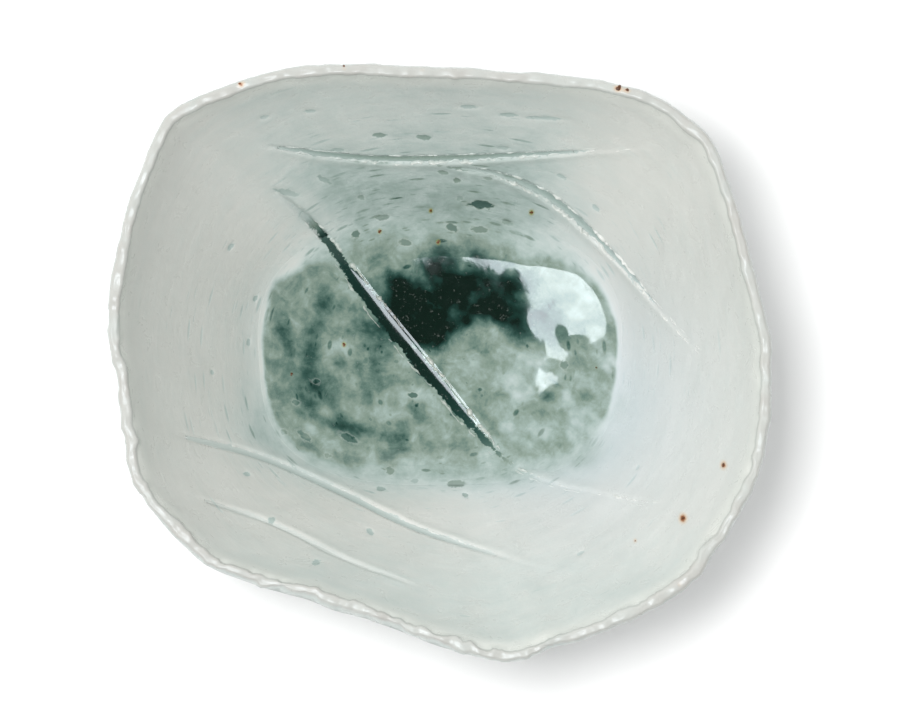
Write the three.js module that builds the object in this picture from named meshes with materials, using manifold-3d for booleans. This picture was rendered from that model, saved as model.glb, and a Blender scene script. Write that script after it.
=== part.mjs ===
// A hand-built porcelain tea bowl: torn lip, gashed inner wall, glaze glass caught in the gashes and the well.
// Millimetres, +Z up. The bowl stands on its foot ring at z = 0, with the lip's outline centred on X and Y.

import * as THREE from 'three';
import Module from 'manifold-3d';

// Lip
const rimWidth = 140;            // lip to lip along X
const rimDepth = 126;            // lip to lip along Y
const bowlHeight = 75;
const lipThickness = 2.8;
const lipFall = 2.6;             // how far the lip dips between its two high sides
const lipHighAngle = 125;        // degrees, the direction of one of the high sides
const lipRound = 1.4;            // how far the lip's crest stands above its two edges
const tearDepth = 0.55;          // waves torn into the lip's outline
const tearRise = 0.45;           // waves torn into the lip's height
const tearCentre = -95;          // degrees, the middle of the most ragged stretch
const calmShare = 0.3;           // waves elsewhere, as a share of the ragged stretch's

// Wall, floor and foot
const wallThickness = 5.6;       // measured level, low on the wall
const floorThickness = 6.5;      // at the middle of the floor
const wallBow = 0.8;             // 1 is a straight wall, less bows it upright towards the lip
const kneeRound = 6;             // height over which the floor's edge turns into the wall
const bellyHeight = 14;          // the rounded underside, from the foot up
const bellyBow = 0.9;            // 1 is a straight side from foot to lip, less is fuller
const bellyRound = 5;            // smooths where the full side and the even wall meet
const footDiameter = 50;
const footWidth = 5.5;           // of the ring
const footHeight = 7.5;
const footTaper = 1.6;           // the ring narrows by this much towards the ground
const footChamfer = 0.7;
const seatMargin = 0.6;          // flat underside left round the foot ring

// Well, the dished floor that holds the glass
const wellLength = 77;
const wellWidth = 52;
const wellSquareness = 2.8;      // 2 is an ellipse, more fills its corners
const wellShift = 2.6;           // the well lies this far towards +Y
const wellDish = 4.6;            // from its edge down to its middle
const poolDepth = 3.8;           // glass over the middle of the floor
const poolRimShare = 0.5;        // share of the glass's rise that is drawn up near its edge
const glassGap = 0.3;            // between glass and porcelain
const glassRecess = 0.25;        // glass in a gash stops this far below the wall's face
const keelRise = 0.9;            // how far the long gash's glass reaches up into the pool
const keelReach = 0.82;          // share of the well's radius over which it does
const creaseReach = 0.9;         // share of the well's radius over which the pool's face is furrowed
const creaseDepth = 0.7;         // the furrow that the long gash leaves in the pool's face
const creaseWidth = 2.6;
const creaseSwell = 0.5;         // the low swell beside the furrow, over the gash's torn edge

// Shares and steps that the gashes have in common
const narrowest = 0.2;           // a cut's width at its ends, as a share of its full width
const flankReach = 0.28;         // from a cut's middle to the foot of its straight flank, as a share of its width
const flankDrop = 0.75;          // how far down the flank goes, as a share of the cut's depth
const leastCut = 0.05;           // a cut is at least this deep
const leastGlassWidth = 4.5 * glassGap; // glass starts where the cut is wider and deeper than these
const leastGlassDepth = 2.2 * glassGap + glassRecess;
const slopeStep = 0.8;           // how far apart a face's slope is measured

// Fineness
const columns = 96;
const poolColumns = 48;
const footColumns = 64;
const gashStep = 3.4;            // distance between a gash's sections
const edgeSteps = 4;             // in the torn edge's arc
const floorRings = [0.3, 0.56, 0.78, 0.92, 1];
const wallRings = [0.07, 0.17, 0.3, 0.45, 0.61, 0.77, 0.91, 1];
const lipRings = [0.2, 0.5, 0.8];
const outerRings = [0.93, 0.76, 0.55, 0.34, 0.15];
const bellyRings = [1, 0.64, 0.36, 0.16, 0.04];

// The lip's outline seen from above, as shares of half the width and half the depth
const lipOutline = [
  [-1.00, 0.11], [-0.97, 0.40], [-0.93, 0.56], [-0.85, 0.78], [-0.80, 0.85], [-0.68, 0.915], [-0.54, 0.97],
  [-0.36, 1.00], [-0.12, 1.00], [0.35, 0.97], [0.56, 0.93], [0.68, 0.88], [0.77, 0.81], [0.83, 0.73],
  [0.91, 0.48], [0.99, 0.13], [1.00, -0.03], [1.00, -0.18], [0.96, -0.39], [0.84, -0.62], [0.74, -0.76],
  [0.46, -0.92], [0.35, -0.96], [0.29, -0.99], [0.22, -1.00], [0.01, -0.955], [-0.26, -0.835],
  [-0.44, -0.78], [-0.67, -0.69], [-0.77, -0.61], [-0.90, -0.45], [-0.955, -0.22], [-0.975, -0.05],
];

// The gashes, cut while the clay was soft. Each route is seen from above, in shares of half the width and depth.
// The torn edge stands up on one side: 1 is to the left of the route's direction, -1 to the right.
const gashes = {
  long: {
    route: [[-0.52, 0.60], [-0.38, 0.46], [-0.20, 0.19], [0, -0.08], [0.17, -0.30], [0.30, -0.40],
      [0.50, -0.455], [0.67, -0.48]],
    width: 3.4, widestAt: 0.4, endsAt: 0.72, depth: 2.2, edgeWidth: 2.0, edgeHeight: 0.9, edgeSide: 1,
  },
  top: {
    route: [[-0.54, 0.735], [-0.25, 0.698], [0.03, 0.696], [0.34, 0.712], [0.62, 0.727]],
    width: 2.6, widestAt: 0.42, endsAt: 0.86, depth: 1.6, edgeWidth: 1.6, edgeHeight: 0.7, edgeSide: -1,
  },
  arc: {
    route: [[0.03, 0.67], [0.20, 0.635], [0.36, 0.55], [0.54, 0.365], [0.68, 0.18], [0.79, 0.04]],
    width: 2.5, widestAt: 0.35, endsAt: 0.82, depth: 1.5, edgeWidth: 1.6, edgeHeight: 0.7, edgeSide: -1,
  },
  lower: {
    route: [[-0.83, -0.235], [-0.56, -0.32], [-0.31, -0.44], [-0.08, -0.56], [0.19, -0.66], [0.35, -0.71]],
    width: 2.6, widestAt: 0.45, endsAt: 0.9, depth: 1.6, edgeWidth: 1.7, edgeHeight: 0.7, edgeSide: 1,
  },
  outer: {
    route: [[-0.75, -0.45], [-0.50, -0.55], [-0.28, -0.665], [-0.03, -0.77]],
    width: 2.4, widestAt: 0.5, endsAt: 0.95, depth: 1.2, edgeWidth: 1.6, edgeHeight: 0.6, edgeSide: 1,
  },
};

// Colours of the fired surfaces
const porcelainColour = 0xd5d9d2;
const footColour = 0xcfc8ba;
const poolColour = 0x6a8479;
const gashGlassColour = 0x8fa8a2;

// Heights and radii that follow from the driving dimensions
const floorHeight = footHeight + floorThickness;
const wellEdgeHeight = floorHeight + wellDish;
const seatRadius = footDiameter / 2 + seatMargin;
const radians = THREE.MathUtils.degToRad;

const wasm = await Module();
wasm.setup();

// The larger of two heights, with the corner between them rounded
function smoothMax(a, b, round) {
  const blend = Math.max(round - Math.abs(a - b), 0) / round;
  return Math.max(a, b) + blend * blend * round / 4;
}

// How ragged the lip is in a direction: 1 at the middle of the torn stretch, less elsewhere
function raggedness(angle) {
  const near = 0.5 + 0.5 * Math.cos(angle - radians(tearCentre));
  return calmShare + (1 - calmShare) * near * near;
}

// One point of the lip for each column, at even steps along the outline, fitted to the width and depth
function makeLip() {
  const corners = lipOutline.map(([x, y]) => new THREE.Vector3(x * rimWidth / 2, y * rimDepth / 2, 0));
  const outline = new THREE.CatmullRomCurve3(corners, true, 'centripetal');
  const points = [];
  for (let column = 0; column < columns; column += 1) {
    const point = outline.getPointAt(column / columns);
    const angle = Math.atan2(point.y, point.x);
    const wave = 0.5 * Math.sin(13 * angle + 1.3) + 0.3 * Math.sin(22 * angle + 0.4) + 0.2 * Math.sin(31 * angle);
    const torn = tearDepth * raggedness(angle) * wave;
    points.push(point.multiplyScalar(1 + torn / point.length()));
  }
  const box = new THREE.Box3().setFromPoints(points);
  const centre = box.getCenter(new THREE.Vector3());
  const size = box.getSize(new THREE.Vector3());
  const lip = points.map((point) => {
    const x = (point.x - centre.x) * rimWidth / size.x;
    const y = (point.y - centre.y) * rimDepth / size.y;
    return { x, y, angle: Math.atan2(y, x), reach: Math.hypot(x, y) };
  });
  const turn = lip[1].angle > lip[0].angle ? 1 : -1;
  return turn > 0 ? lip : lip.reverse();
}

const lipPoints = makeLip();
const lipByAngle = [...lipPoints].sort((a, b) => a.angle - b.angle);

// Distance from the axis to the lip's outer edge in a direction, straight between the columns
function lipReach(angle) {
  let next = lipByAngle.findIndex((point) => point.angle > angle);
  if (next < 0) {
    next = 0;
  }
  const before = lipByAngle[(next + columns - 1) % columns];
  const after = lipByAngle[next];
  const span = THREE.MathUtils.euclideanModulo(after.angle - before.angle, 2 * Math.PI);
  const share = THREE.MathUtils.euclideanModulo(angle - before.angle, 2 * Math.PI) / span;
  return before.reach + (after.reach - before.reach) * share;
}

// Height of the lip's crest in a direction
function crestHeight(angle) {
  const sway = lipFall * (1 - Math.cos(2 * (angle - radians(lipHighAngle)))) / 2;
  const torn = tearRise * raggedness(angle) * (1 + Math.sin(23 * angle + 2.1)) / 2;
  return bowlHeight - sway - torn;
}

// Distance from the axis to the well's edge, a squarish oval moved towards +Y
function wellReach(angle) {
  const across = Math.abs(Math.cos(angle) / (wellLength / 2)) ** wellSquareness;
  const along = Math.abs(Math.sin(angle) / (wellWidth / 2)) ** wellSquareness;
  return (across + along) ** (-1 / wellSquareness) + wellShift * Math.sin(angle);
}

// Height of the inner face: the dished floor and the bowed wall, with a rounded knee between them
function innerHeight(angle, reach) {
  const well = wellReach(angle);
  const top = lipReach(angle) - lipThickness;
  const upWall = Math.min((reach - well) / (top - well), 1);
  const floor = floorHeight + wellDish * (reach / well) ** 2;
  const rise = crestHeight(angle) - lipRound - wellEdgeHeight;
  const wall = wellEdgeHeight + rise * (1 - (1 - upWall) ** wallBow);
  return upWall > 0.5 ? wall : smoothMax(floor, wall, kneeRound);
}

// Distance from the axis to the outer face at a height, whichever is further out: the wall's own thickness
// outside the inner face, or a full side from the foot to the lip
function outerReach(angle, height) {
  const well = wellReach(angle);
  const top = lipReach(angle) - lipThickness;
  const edge = crestHeight(angle) - lipRound;
  const upWall = (height - wellEdgeHeight) / (edge - wellEdgeHeight);
  const inner = well + (top - well) * (1 - (1 - upWall) ** (1 / wallBow));
  const thickness = THREE.MathUtils.lerp(wallThickness, lipThickness, THREE.MathUtils.clamp(upWall, 0, 1) ** 2);
  const upSide = THREE.MathUtils.clamp((height - footHeight) / (edge - footHeight), 0, 1);
  const side = seatRadius + (top + lipThickness - bellyRound / 4 - seatRadius) * upSide ** bellyBow;
  const wall = smoothMax(inner + thickness, side, bellyRound * (1 - upSide) + 0.01);
  const upBelly = THREE.MathUtils.clamp((height - footHeight) / bellyHeight, 0, 1);
  return seatRadius + (wall - seatRadius) * Math.sqrt(1 - (1 - upBelly) ** 2);
}

// Height of the pool's face: flatter than the floor, and drawn up to meet the wall at the well's edge
function poolHeight(angle, reach) {
  const well = wellReach(angle);
  const middle = floorHeight + poolDepth;
  const share = reach / well;
  const rise = innerHeight(angle, well) + glassGap - middle;
  return middle + rise * ((1 - poolRimShare) * share ** 2 + poolRimShare * share ** 6);
}

function pointOn(heightAt, angle, reach) {
  return new THREE.Vector3(reach * Math.cos(angle), reach * Math.sin(angle), heightAt(angle, reach));
}

function geometryFrom(vertices, triangles) {
  const geometry = new THREE.BufferGeometry();
  geometry.setAttribute('position', new THREE.Float32BufferAttribute(vertices.flatMap((v) => [v.x, v.y, v.z]), 3));
  geometry.setIndex(triangles);
  return geometry;
}

// Rings of points joined into one closed surface, from a pole below to a pole above
function closeRings(firstPole, rings, lastPole) {
  const count = rings[0].length;
  const vertices = [firstPole, ...rings.flat(), lastPole];
  const at = (ring, column) => 1 + ring * count + column % count;
  const triangles = [];
  for (let column = 0; column < count; column += 1) {
    triangles.push(0, at(0, column + 1), at(0, column));
    for (let ring = 0; ring < rings.length - 1; ring += 1) {
      triangles.push(at(ring, column), at(ring, column + 1), at(ring + 1, column + 1));
      triangles.push(at(ring, column), at(ring + 1, column + 1), at(ring + 1, column));
    }
    triangles.push(at(rings.length - 1, column), at(rings.length - 1, column + 1), vertices.length - 1);
  }
  return geometryFrom(vertices, triangles);
}

function toSolid(geometry) {
  const vertProperties = new Float32Array(geometry.attributes.position.array);
  const triVerts = new Uint32Array(geometry.index.array);
  return new wasm.Manifold(new wasm.Mesh({ numProp: 3, vertProperties, triVerts }));
}

function toGeometry(solid) {
  const mesh = solid.getMesh();
  const geometry = new THREE.BufferGeometry();
  geometry.setAttribute('position', new THREE.Float32BufferAttribute(mesh.vertProperties, 3));
  geometry.setIndex(Array.from(mesh.triVerts));
  return geometry;
}

// The formed body: underside, belly, outer wall, lip, inner wall and floor, as rings from pole to pole
function makeShell() {
  const ringOf = (place) => lipPoints.map((point) => place(point.angle, point));
  const outerPoint = (angle, height) => {
    const reach = outerReach(angle, height);
    return new THREE.Vector3(reach * Math.cos(angle), reach * Math.sin(angle), height);
  };
  const rings = [ringOf((angle) => outerPoint(angle, footHeight))];
  for (const share of [...bellyRings].reverse()) {
    rings.push(ringOf((angle) => outerPoint(angle, footHeight + bellyHeight * share)));
  }
  for (const share of [...outerRings].reverse()) {
    rings.push(ringOf((angle) => {
      const bottom = footHeight + bellyHeight;
      return outerPoint(angle, bottom + (crestHeight(angle) - lipRound - bottom) * share);
    }));
  }
  rings.push(ringOf((angle, point) => new THREE.Vector3(point.x, point.y, crestHeight(angle) - lipRound)));
  for (const share of lipRings) {
    rings.push(ringOf((angle, point) => {
      const reach = point.reach - lipThickness * share;
      const height = crestHeight(angle) - lipRound * (2 * share - 1) ** 2;
      return new THREE.Vector3(reach * Math.cos(angle), reach * Math.sin(angle), height);
    }));
  }
  for (const share of [...wallRings].reverse()) {
    rings.push(ringOf((angle) => {
      const well = wellReach(angle);
      return pointOn(innerHeight, angle, well + (lipReach(angle) - lipThickness - well) * share);
    }));
  }
  for (const share of [...floorRings].reverse()) {
    rings.push(ringOf((angle) => pointOn(innerHeight, angle, wellReach(angle) * share)));
  }
  const under = new THREE.Vector3(0, 0, footHeight);
  return closeRings(under, rings, new THREE.Vector3(0, 0, innerHeight(0, 0)));
}

// A share that is 0 at both ends of a gash's cut and 1 where the cut is widest
function openness(gash, along) {
  const toWidest = along / gash.widestAt;
  const pastWidest = (along - gash.widestAt) / (gash.endsAt - gash.widestAt);
  const distance = Math.min(along < gash.widestAt ? 1 - toWidest : pastWidest, 1);
  return Math.cos(distance * Math.PI / 2) ** 0.8;
}

// Places along a gash: a point on the face that it is cut in, the way across it and the way out of the face
function makeStations(gash, heightAt) {
  const flat = gash.route.map(([x, y]) => new THREE.Vector3(x * rimWidth / 2, y * rimDepth / 2, 0));
  const curve = new THREE.CatmullRomCurve3(flat, false, 'centripetal');
  const steps = Math.round(curve.getLength() / gashStep);
  const onFace = (x, y) => pointOn(heightAt, Math.atan2(y, x), Math.hypot(x, y));
  const stations = [];
  for (let step = 0; step <= steps; step += 1) {
    const along = step / steps;
    const { x, y } = curve.getPointAt(along);
    const acrossX = onFace(x + slopeStep, y).sub(onFace(x - slopeStep, y));
    const acrossY = onFace(x, y + slopeStep).sub(onFace(x, y - slopeStep));
    const out = acrossX.cross(acrossY).normalize();
    const heading = curve.getTangentAt(along);
    const across = out.clone().cross(heading).normalize();
    stations.push({ along, point: onFace(x, y), across, out, open: openness(gash, along) });
  }
  return stations;
}

// A closed solid through one section at each station; a section is a list of [across, out] offsets
function sweep(stations, sectionAt) {
  const sections = stations.map((station) => sectionAt(station).map(([across, out]) => (
    station.point.clone().addScaledVector(station.across, across).addScaledVector(station.out, out)
  )));
  const middle = (points) => points.reduce((sum, p) => sum.add(p), new THREE.Vector3()).divideScalar(points.length);
  return toSolid(closeRings(middle(sections[0]), sections, middle(sections[sections.length - 1])));
}

// The cut's section: straight flanks down to a rounded bottom, open at the given height above the face
function troughSection(width, depth, top) {
  const flank = flankReach * width;
  const flankDepth = flankDrop * depth;
  const slope = (width / 2 - flank) / flankDepth;
  const mouth = width / 2 + slope * top;
  return [[mouth, top], [-mouth, top], [-flank, -flankDepth], [0, -depth], [flank, -flankDepth]];
}

// A convex section with every edge moved inwards by the same distance
function insetSection(points, distance) {
  const edges = points.map((start, index) => {
    const end = points[(index + 1) % points.length];
    const length = Math.hypot(end[0] - start[0], end[1] - start[1]);
    const normal = [-(end[1] - start[1]) / length, (end[0] - start[0]) / length];
    return { normal, offset: normal[0] * start[0] + normal[1] * start[1] + distance };
  });
  return edges.map((edge, index) => {
    const before = edges[(index + edges.length - 1) % edges.length];
    const det = before.normal[0] * edge.normal[1] - before.normal[1] * edge.normal[0];
    const across = (before.offset * edge.normal[1] - edge.offset * before.normal[1]) / det;
    const out = (edge.offset * before.normal[0] - before.offset * edge.normal[0]) / det;
    return [across, out];
  });
}

function cutWidth(gash, station) {
  return gash.width * (narrowest + (1 - narrowest) * station.open);
}

function cutDepth(gash, station) {
  return gash.depth * station.open;
}

// The cutter for a gash, standing clear above its torn edge
function makeCutter(gash, stations) {
  const inCut = stations.filter((station) => station.along <= gash.endsAt);
  return sweep(inCut, (station) => {
    const depth = Math.max(cutDepth(gash, station), leastCut);
    return troughSection(cutWidth(gash, station), depth, gash.edgeHeight);
  });
}

// The torn edge: a low round ridge along one side of the cut, which fades out at its ends
function makeEdge(gash, stations, edgeHeight, clearance) {
  const root = edgeHeight * 0.8; // how deep the ridge is rooted in the face
  return sweep(stations, (station) => {
    const swell = Math.sin(Math.PI * THREE.MathUtils.clamp(station.along, 0.02, 0.98)) ** 0.5;
    const halfWidth = gash.edgeWidth / 2 * (0.5 + 0.5 * swell) + clearance;
    const height = edgeHeight * swell + clearance;
    const centre = gash.edgeSide * (cutWidth(gash, station) / 2 + gash.edgeWidth * 0.3);
    const section = [];
    for (let step = 0; step <= edgeSteps; step += 1) {
      const turn = Math.PI * step / edgeSteps;
      section.push([centre + halfWidth * Math.cos(turn), height * Math.sin(turn)]);
    }
    section.push([centre - halfWidth * 0.6, -root], [centre + halfWidth * 0.6, -root]);
    return section;
  });
}

// Glass lying in a gash, clear of the cut's faces all round
function makeGlass(gash, stations) {
  const wide = stations.filter((station) => (
    station.along <= gash.endsAt
    && cutWidth(gash, station) > leastGlassWidth
    && cutDepth(gash, station) > leastGlassDepth
  ));
  return sweep(wide, (station) => insetSection(
    troughSection(cutWidth(gash, station), cutDepth(gash, station), glassGap - glassRecess),
    glassGap,
  ));
}

// The stations of a gash that lie within a share of the well's radius
function insideWell(stations, reach) {
  return stations.filter(({ point }) => (
    Math.hypot(point.x, point.y) < reach * wellReach(Math.atan2(point.y, point.x))
  ));
}

// The part of the long gash's glass that rises into the pool
function makeKeel(gash, stations) {
  return sweep(insideWell(stations, keelReach), (station) => insetSection(
    troughSection(cutWidth(gash, station), cutDepth(gash, station), keelRise + glassGap),
    glassGap,
  ));
}

// The pool's plain body: its underside follows the floor, and both faces meet at the well's edge
function makePoolBody() {
  const stride = columns / poolColumns;
  const angles = lipPoints.filter((point, column) => column % stride === 0).map((point) => point.angle);
  const underside = (angle, reach) => innerHeight(angle, reach) + glassGap;
  const ringAt = (heightAt, share) => angles.map((angle) => pointOn(heightAt, angle, wellReach(angle) * share));
  const rings = floorRings.map((share) => ringAt(underside, share));
  for (const share of floorRings.slice(0, -1).reverse()) {
    rings.push(ringAt(poolHeight, share));
  }
  return toSolid(closeRings(pointOn(underside, 0, 0), rings, pointOn(poolHeight, 0, 0)));
}

// The pool with the long gash's glass below it, room for the torn edge, and the gash's furrow in its face
function makePool(gash, stations) {
  const onPool = insideWell(makeStations(gash, poolHeight), creaseReach);
  const furrow = sweep(onPool, (station) => troughSection(
    creaseWidth * (0.4 + 0.6 * station.open),
    creaseDepth * (0.3 + 0.7 * station.open),
    gash.edgeHeight,
  ));
  return makePoolBody()
    .add(makeGlass(gash, stations))
    .add(makeKeel(gash, stations))
    .add(makeEdge(gash, onPool, creaseSwell, 0))
    .subtract(furrow)
    .subtract(makeEdge(gash, stations, gash.edgeHeight, glassGap));
}

// The foot ring, turned: a level top against the body, sides drawn in towards the ground, bare chamfered edge
function makeFootRing() {
  const outer = footDiameter / 2;
  const inner = outer - footWidth;
  const profile = [
    [inner, footHeight], [inner + footTaper / 2, footChamfer], [inner + footTaper / 2 + footChamfer, 0],
    [outer - footTaper / 2 - footChamfer, 0], [outer - footTaper / 2, footChamfer], [outer, footHeight],
    [inner, footHeight],
  ];
  const section = profile.map(([x, y]) => new THREE.Vector2(x, y));
  return new THREE.LatheGeometry(section, footColumns).rotateX(Math.PI / 2);
}

function namedMesh(name, geometry, color, roughness) {
  const plain = geometry.toNonIndexed();
  plain.computeVertexNormals();
  const mesh = new THREE.Mesh(plain, new THREE.MeshStandardMaterial({ color, roughness, metalness: 0 }));
  mesh.name = name;
  return mesh;
}

const bowl = new THREE.Group();
let body = toSolid(makeShell());
for (const [name, gash] of Object.entries(gashes)) {
  const stations = makeStations(gash, innerHeight);
  body = body.add(makeEdge(gash, stations, gash.edgeHeight, 0)).subtract(makeCutter(gash, stations));
  if (name === 'long') {
    bowl.add(namedMesh('glass_pool', toGeometry(makePool(gash, stations)), poolColour, 0.05));
  } else {
    const glass = makeGlass(gash, stations);
    bowl.add(namedMesh(`gash_glass_${name}`, toGeometry(glass), gashGlassColour, 0.05));
  }
}
bowl.add(namedMesh('porcelain_body', toGeometry(body), porcelainColour, 0.25));
bowl.add(namedMesh('foot_ring', makeFootRing(), footColour, 0.75));

export default bowl;
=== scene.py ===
import math

import bpy
import numpy as np
from mathutils import Matrix, Vector


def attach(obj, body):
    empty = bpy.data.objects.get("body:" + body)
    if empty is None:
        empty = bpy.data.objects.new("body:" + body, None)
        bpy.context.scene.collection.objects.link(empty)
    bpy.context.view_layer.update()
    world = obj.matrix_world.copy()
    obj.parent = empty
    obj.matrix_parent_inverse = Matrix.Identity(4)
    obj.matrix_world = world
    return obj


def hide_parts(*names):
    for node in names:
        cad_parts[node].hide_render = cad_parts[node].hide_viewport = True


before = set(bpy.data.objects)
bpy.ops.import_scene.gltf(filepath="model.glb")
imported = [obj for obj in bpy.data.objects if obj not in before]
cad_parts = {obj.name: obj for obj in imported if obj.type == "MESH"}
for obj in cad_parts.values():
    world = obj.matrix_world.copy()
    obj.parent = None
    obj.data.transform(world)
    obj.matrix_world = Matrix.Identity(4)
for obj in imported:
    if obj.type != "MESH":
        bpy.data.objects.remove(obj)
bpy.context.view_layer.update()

mm = 0.001               # shapes are worked out in millimetres, and meshes are in metres

# The formed body: what a potter would change
bowl = {
    "rimWidth": 140.0,
    "rimDepth": 126.0,
    "height": 75.0,
    "lipThickness": 2.8,
    "lipFall": 2.6,             # how far the lip dips between its two high sides
    "lipHighAngle": 125.0,      # degrees
    "lipRound": 1.4,            # the crest over the lip's two edges
    "tearDepth": 0.55,          # waves torn into the outline
    "tearRise": 0.45,           # waves torn into the lip's height
    "tearCentre": -95.0,        # degrees, the most ragged stretch
    "calmShare": 0.3,           # waves elsewhere, as a share
    "nibble": 0.75,             # small breaks in the lip's edges, at the most ragged stretch
    "nibbleSize": 3.4,
    "pits": 0.14,               # small hollows in the lip's top
    "overhang": 0.8,            # the outer face bulges past the lip by this much at one side
    "overhangAngle": -118.0,
    "wallThickness": 5.6,
    "floorThickness": 6.5,
    "wallBow": 0.8,
    "kneeRound": 6.0,
    "bellyHeight": 14.0,
    "bellyBow": 0.9,
    "bellyRound": 5.0,
    "seatRadius": 25.6,
    "footHeight": 7.5,
    "unevenness": 0.16,         # hand-smoothed hollows and swells of the faces
    "columns": 640,
    "wallRings": 114,
    "floorRings": 8,
    "lipRings": 12,
    "outerRings": 18,
}
well = {
    "length": 77.0,
    "width": 52.0,
    "squareness": 2.8,          # 2 is an ellipse, more fills its corners
    "shift": 2.6,               # towards +Y
    "dish": 4.6,
    "poolDepth": 3.8,
    "rimShare": 0.5,            # share of the glass's rise that is drawn up near its edge
    "gap": 0.3,                 # between glass and porcelain
}

# The lip seen from above, as shares of half the width and half the depth
lipOutline = [
    (-1.00, 0.11), (-0.97, 0.40), (-0.93, 0.56), (-0.85, 0.78), (-0.80, 0.85), (-0.68, 0.915),
    (-0.54, 0.97), (-0.36, 1.00), (-0.12, 1.00), (0.35, 0.97), (0.56, 0.93), (0.68, 0.88),
    (0.77, 0.81), (0.83, 0.73), (0.91, 0.48), (0.99, 0.13), (1.00, -0.03), (1.00, -0.18),
    (0.96, -0.39), (0.84, -0.62), (0.74, -0.76), (0.46, -0.92), (0.35, -0.96), (0.29, -0.99),
    (0.22, -1.00), (0.01, -0.955), (-0.26, -0.835), (-0.44, -0.78), (-0.67, -0.69),
    (-0.77, -0.61), (-0.90, -0.45), (-0.955, -0.22), (-0.975, -0.05),
]

# The gashes. Routes are seen from above, in shares of half the width and depth; sizes are in millimetres.
# edgeSide is the side of the torn edge: 1 to the left of the route's direction, -1 to the right.
# softness rounds the cut's borders over, and relief is the share of its depth and swell that is left.
gashes = {
    "long": {
        "route": [(-0.52, 0.60), (-0.38, 0.46), (-0.20, 0.19), (0, -0.08), (0.17, -0.30),
                  (0.30, -0.40), (0.50, -0.455), (0.67, -0.48)],
        "width": 3.4, "widestAt": 0.4, "endsAt": 0.72, "depth": 2.2,
        "edgeWidth": 2.0, "edgeHeight": 0.9, "edgeSide": 1, "fillTone": 0.98, "burr": 1.0, "farBurr": 0.3,
        "softness": 1.0, "relief": 1.0,
    },
    "top": {
        "route": [(-0.54, 0.735), (-0.25, 0.698), (0.03, 0.696), (0.34, 0.712), (0.62, 0.727)],
        "width": 2.6, "widestAt": 0.42, "endsAt": 0.86, "depth": 1.6,
        "edgeWidth": 1.6, "edgeHeight": 0.7, "edgeSide": -1, "fillTone": 0.52, "burr": 0.9, "farBurr": 0.3,
        "softness": 1.1, "relief": 1.0,
    },
    "arc": {
        "route": [(0.03, 0.67), (0.20, 0.635), (0.36, 0.55), (0.54, 0.365), (0.68, 0.18), (0.79, 0.04)],
        "width": 2.5, "widestAt": 0.35, "endsAt": 0.82, "depth": 1.5,
        "edgeWidth": 1.6, "edgeHeight": 0.7, "edgeSide": -1, "fillTone": 0.44, "burr": 1.0, "farBurr": 0.7,
        "softness": 1.1, "relief": 1.0,
    },
    "lower": {
        "route": [(-0.83, -0.235), (-0.56, -0.32), (-0.31, -0.44), (-0.08, -0.56), (0.19, -0.66),
                  (0.35, -0.71)],
        "width": 2.6, "widestAt": 0.45, "endsAt": 0.9, "depth": 1.6,
        "edgeWidth": 1.7, "edgeHeight": 0.7, "edgeSide": 1, "fillTone": 0.27, "burr": 0.3, "farBurr": 0.0,
        "softness": 1.7, "relief": 0.8,
    },
    "outer": {
        "route": [(-0.75, -0.45), (-0.50, -0.55), (-0.28, -0.665), (-0.03, -0.77)],
        "width": 2.4, "widestAt": 0.5, "endsAt": 0.95, "depth": 1.2,
        "edgeWidth": 1.6, "edgeHeight": 0.6, "edgeSide": 1, "fillTone": 0.12, "burr": 0.0, "farBurr": 0.0,
        "softness": 2.4, "relief": 0.5,
    },
}

halfSize = np.array([bowl["rimWidth"] / 2, bowl["rimDepth"] / 2])
floorHeight = bowl["footHeight"] + bowl["floorThickness"]
wellEdgeHeight = floorHeight + well["dish"]


def smoothMax(a, b, rounding):
    # The larger of two values, with the corner between them rounded
    blend = np.maximum(rounding - np.abs(a - b), 0) / rounding
    return np.maximum(a, b) + blend * blend * rounding / 4


def smoothStep(start, end, value):
    # 0 before the start, 1 past the end, eased between them; the start may lie above the end
    share = np.clip((value - start) / (end - start), 0, 1)
    return share * share * (3 - 2 * share)


def hill(distance, width):
    # A bell: 1 at no distance, about a third at one width
    return np.exp(-(distance / width)**2)


def valueNoise(x, y, cell, seed):
    # Random values on a square lattice of that cell, blended smoothly between its corners: -1 to 1
    lattice = np.random.default_rng(seed).uniform(-1, 1, (64, 64))
    u = x / cell
    v = y / cell
    iu = np.floor(u).astype(int)
    iv = np.floor(v).astype(int)
    fu = u - iu
    fv = v - iv
    fu = fu * fu * (3 - 2 * fu)
    fv = fv * fv * (3 - 2 * fv)
    corner = [lattice[(iu + a) % 64, (iv + b) % 64] for a, b in ((0, 0), (1, 0), (0, 1), (1, 1))]
    near = corner[0] * (1 - fu) + corner[1] * fu
    far = corner[2] * (1 - fu) + corner[3] * fu
    return near * (1 - fv) + far * fv


def roughNoise(x, y, cell, seed, layers=3):
    # Layers of value noise, each half the size and half the strength of the one before
    total = np.zeros(np.broadcast(x, y).shape)
    for layer in range(layers):
        total = total + valueNoise(x, y, cell / 2**layer, seed + layer) / 2**layer
    return total


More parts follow.
